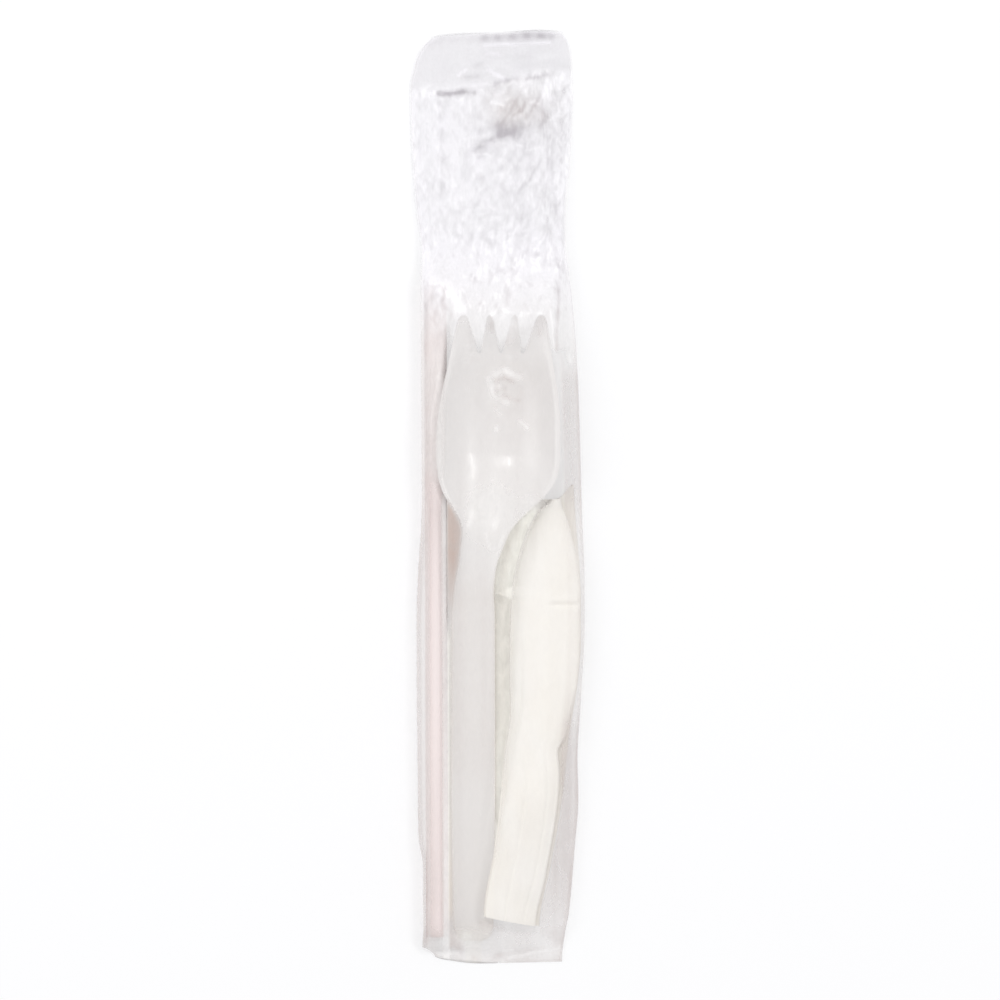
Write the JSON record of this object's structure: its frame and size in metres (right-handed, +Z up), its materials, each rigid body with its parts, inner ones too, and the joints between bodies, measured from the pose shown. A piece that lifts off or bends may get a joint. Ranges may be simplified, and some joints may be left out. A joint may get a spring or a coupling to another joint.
{
  "type": "wrapped cutlery kit",
  "caption": "Disposable cutlery kit: spork, straight drinking straw and folded paper napkin lying side by side in a long, narrow, crinkled clear film sleeve sealed at both ends",
  "frame": {"origin": "centre of the bounding box in X and Y, at the level of the underside", "axes": "+X across the pack towards the napkin, +Y along the pack towards the spork's tines, +Z up out of the front of the pack, which lies on its back"},
  "size_m": [0.0408, 0.2168, 0.0081],
  "materials": {
    "clear_film": "thin clear polypropylene film, crinkled and shiny",
    "spork_plastic": "translucent white moulded plastic, satin",
    "straw_plastic": "pale pink extruded tube, smooth",
    "napkin_paper": "cream tissue paper, matt"
  },
  "bodies": {
    "root": {"film_sleeve": "clear_film", "spork": "spork_plastic", "straw": "straw_plastic", "napkin": "napkin_paper"}
  },
  "joints": []
}
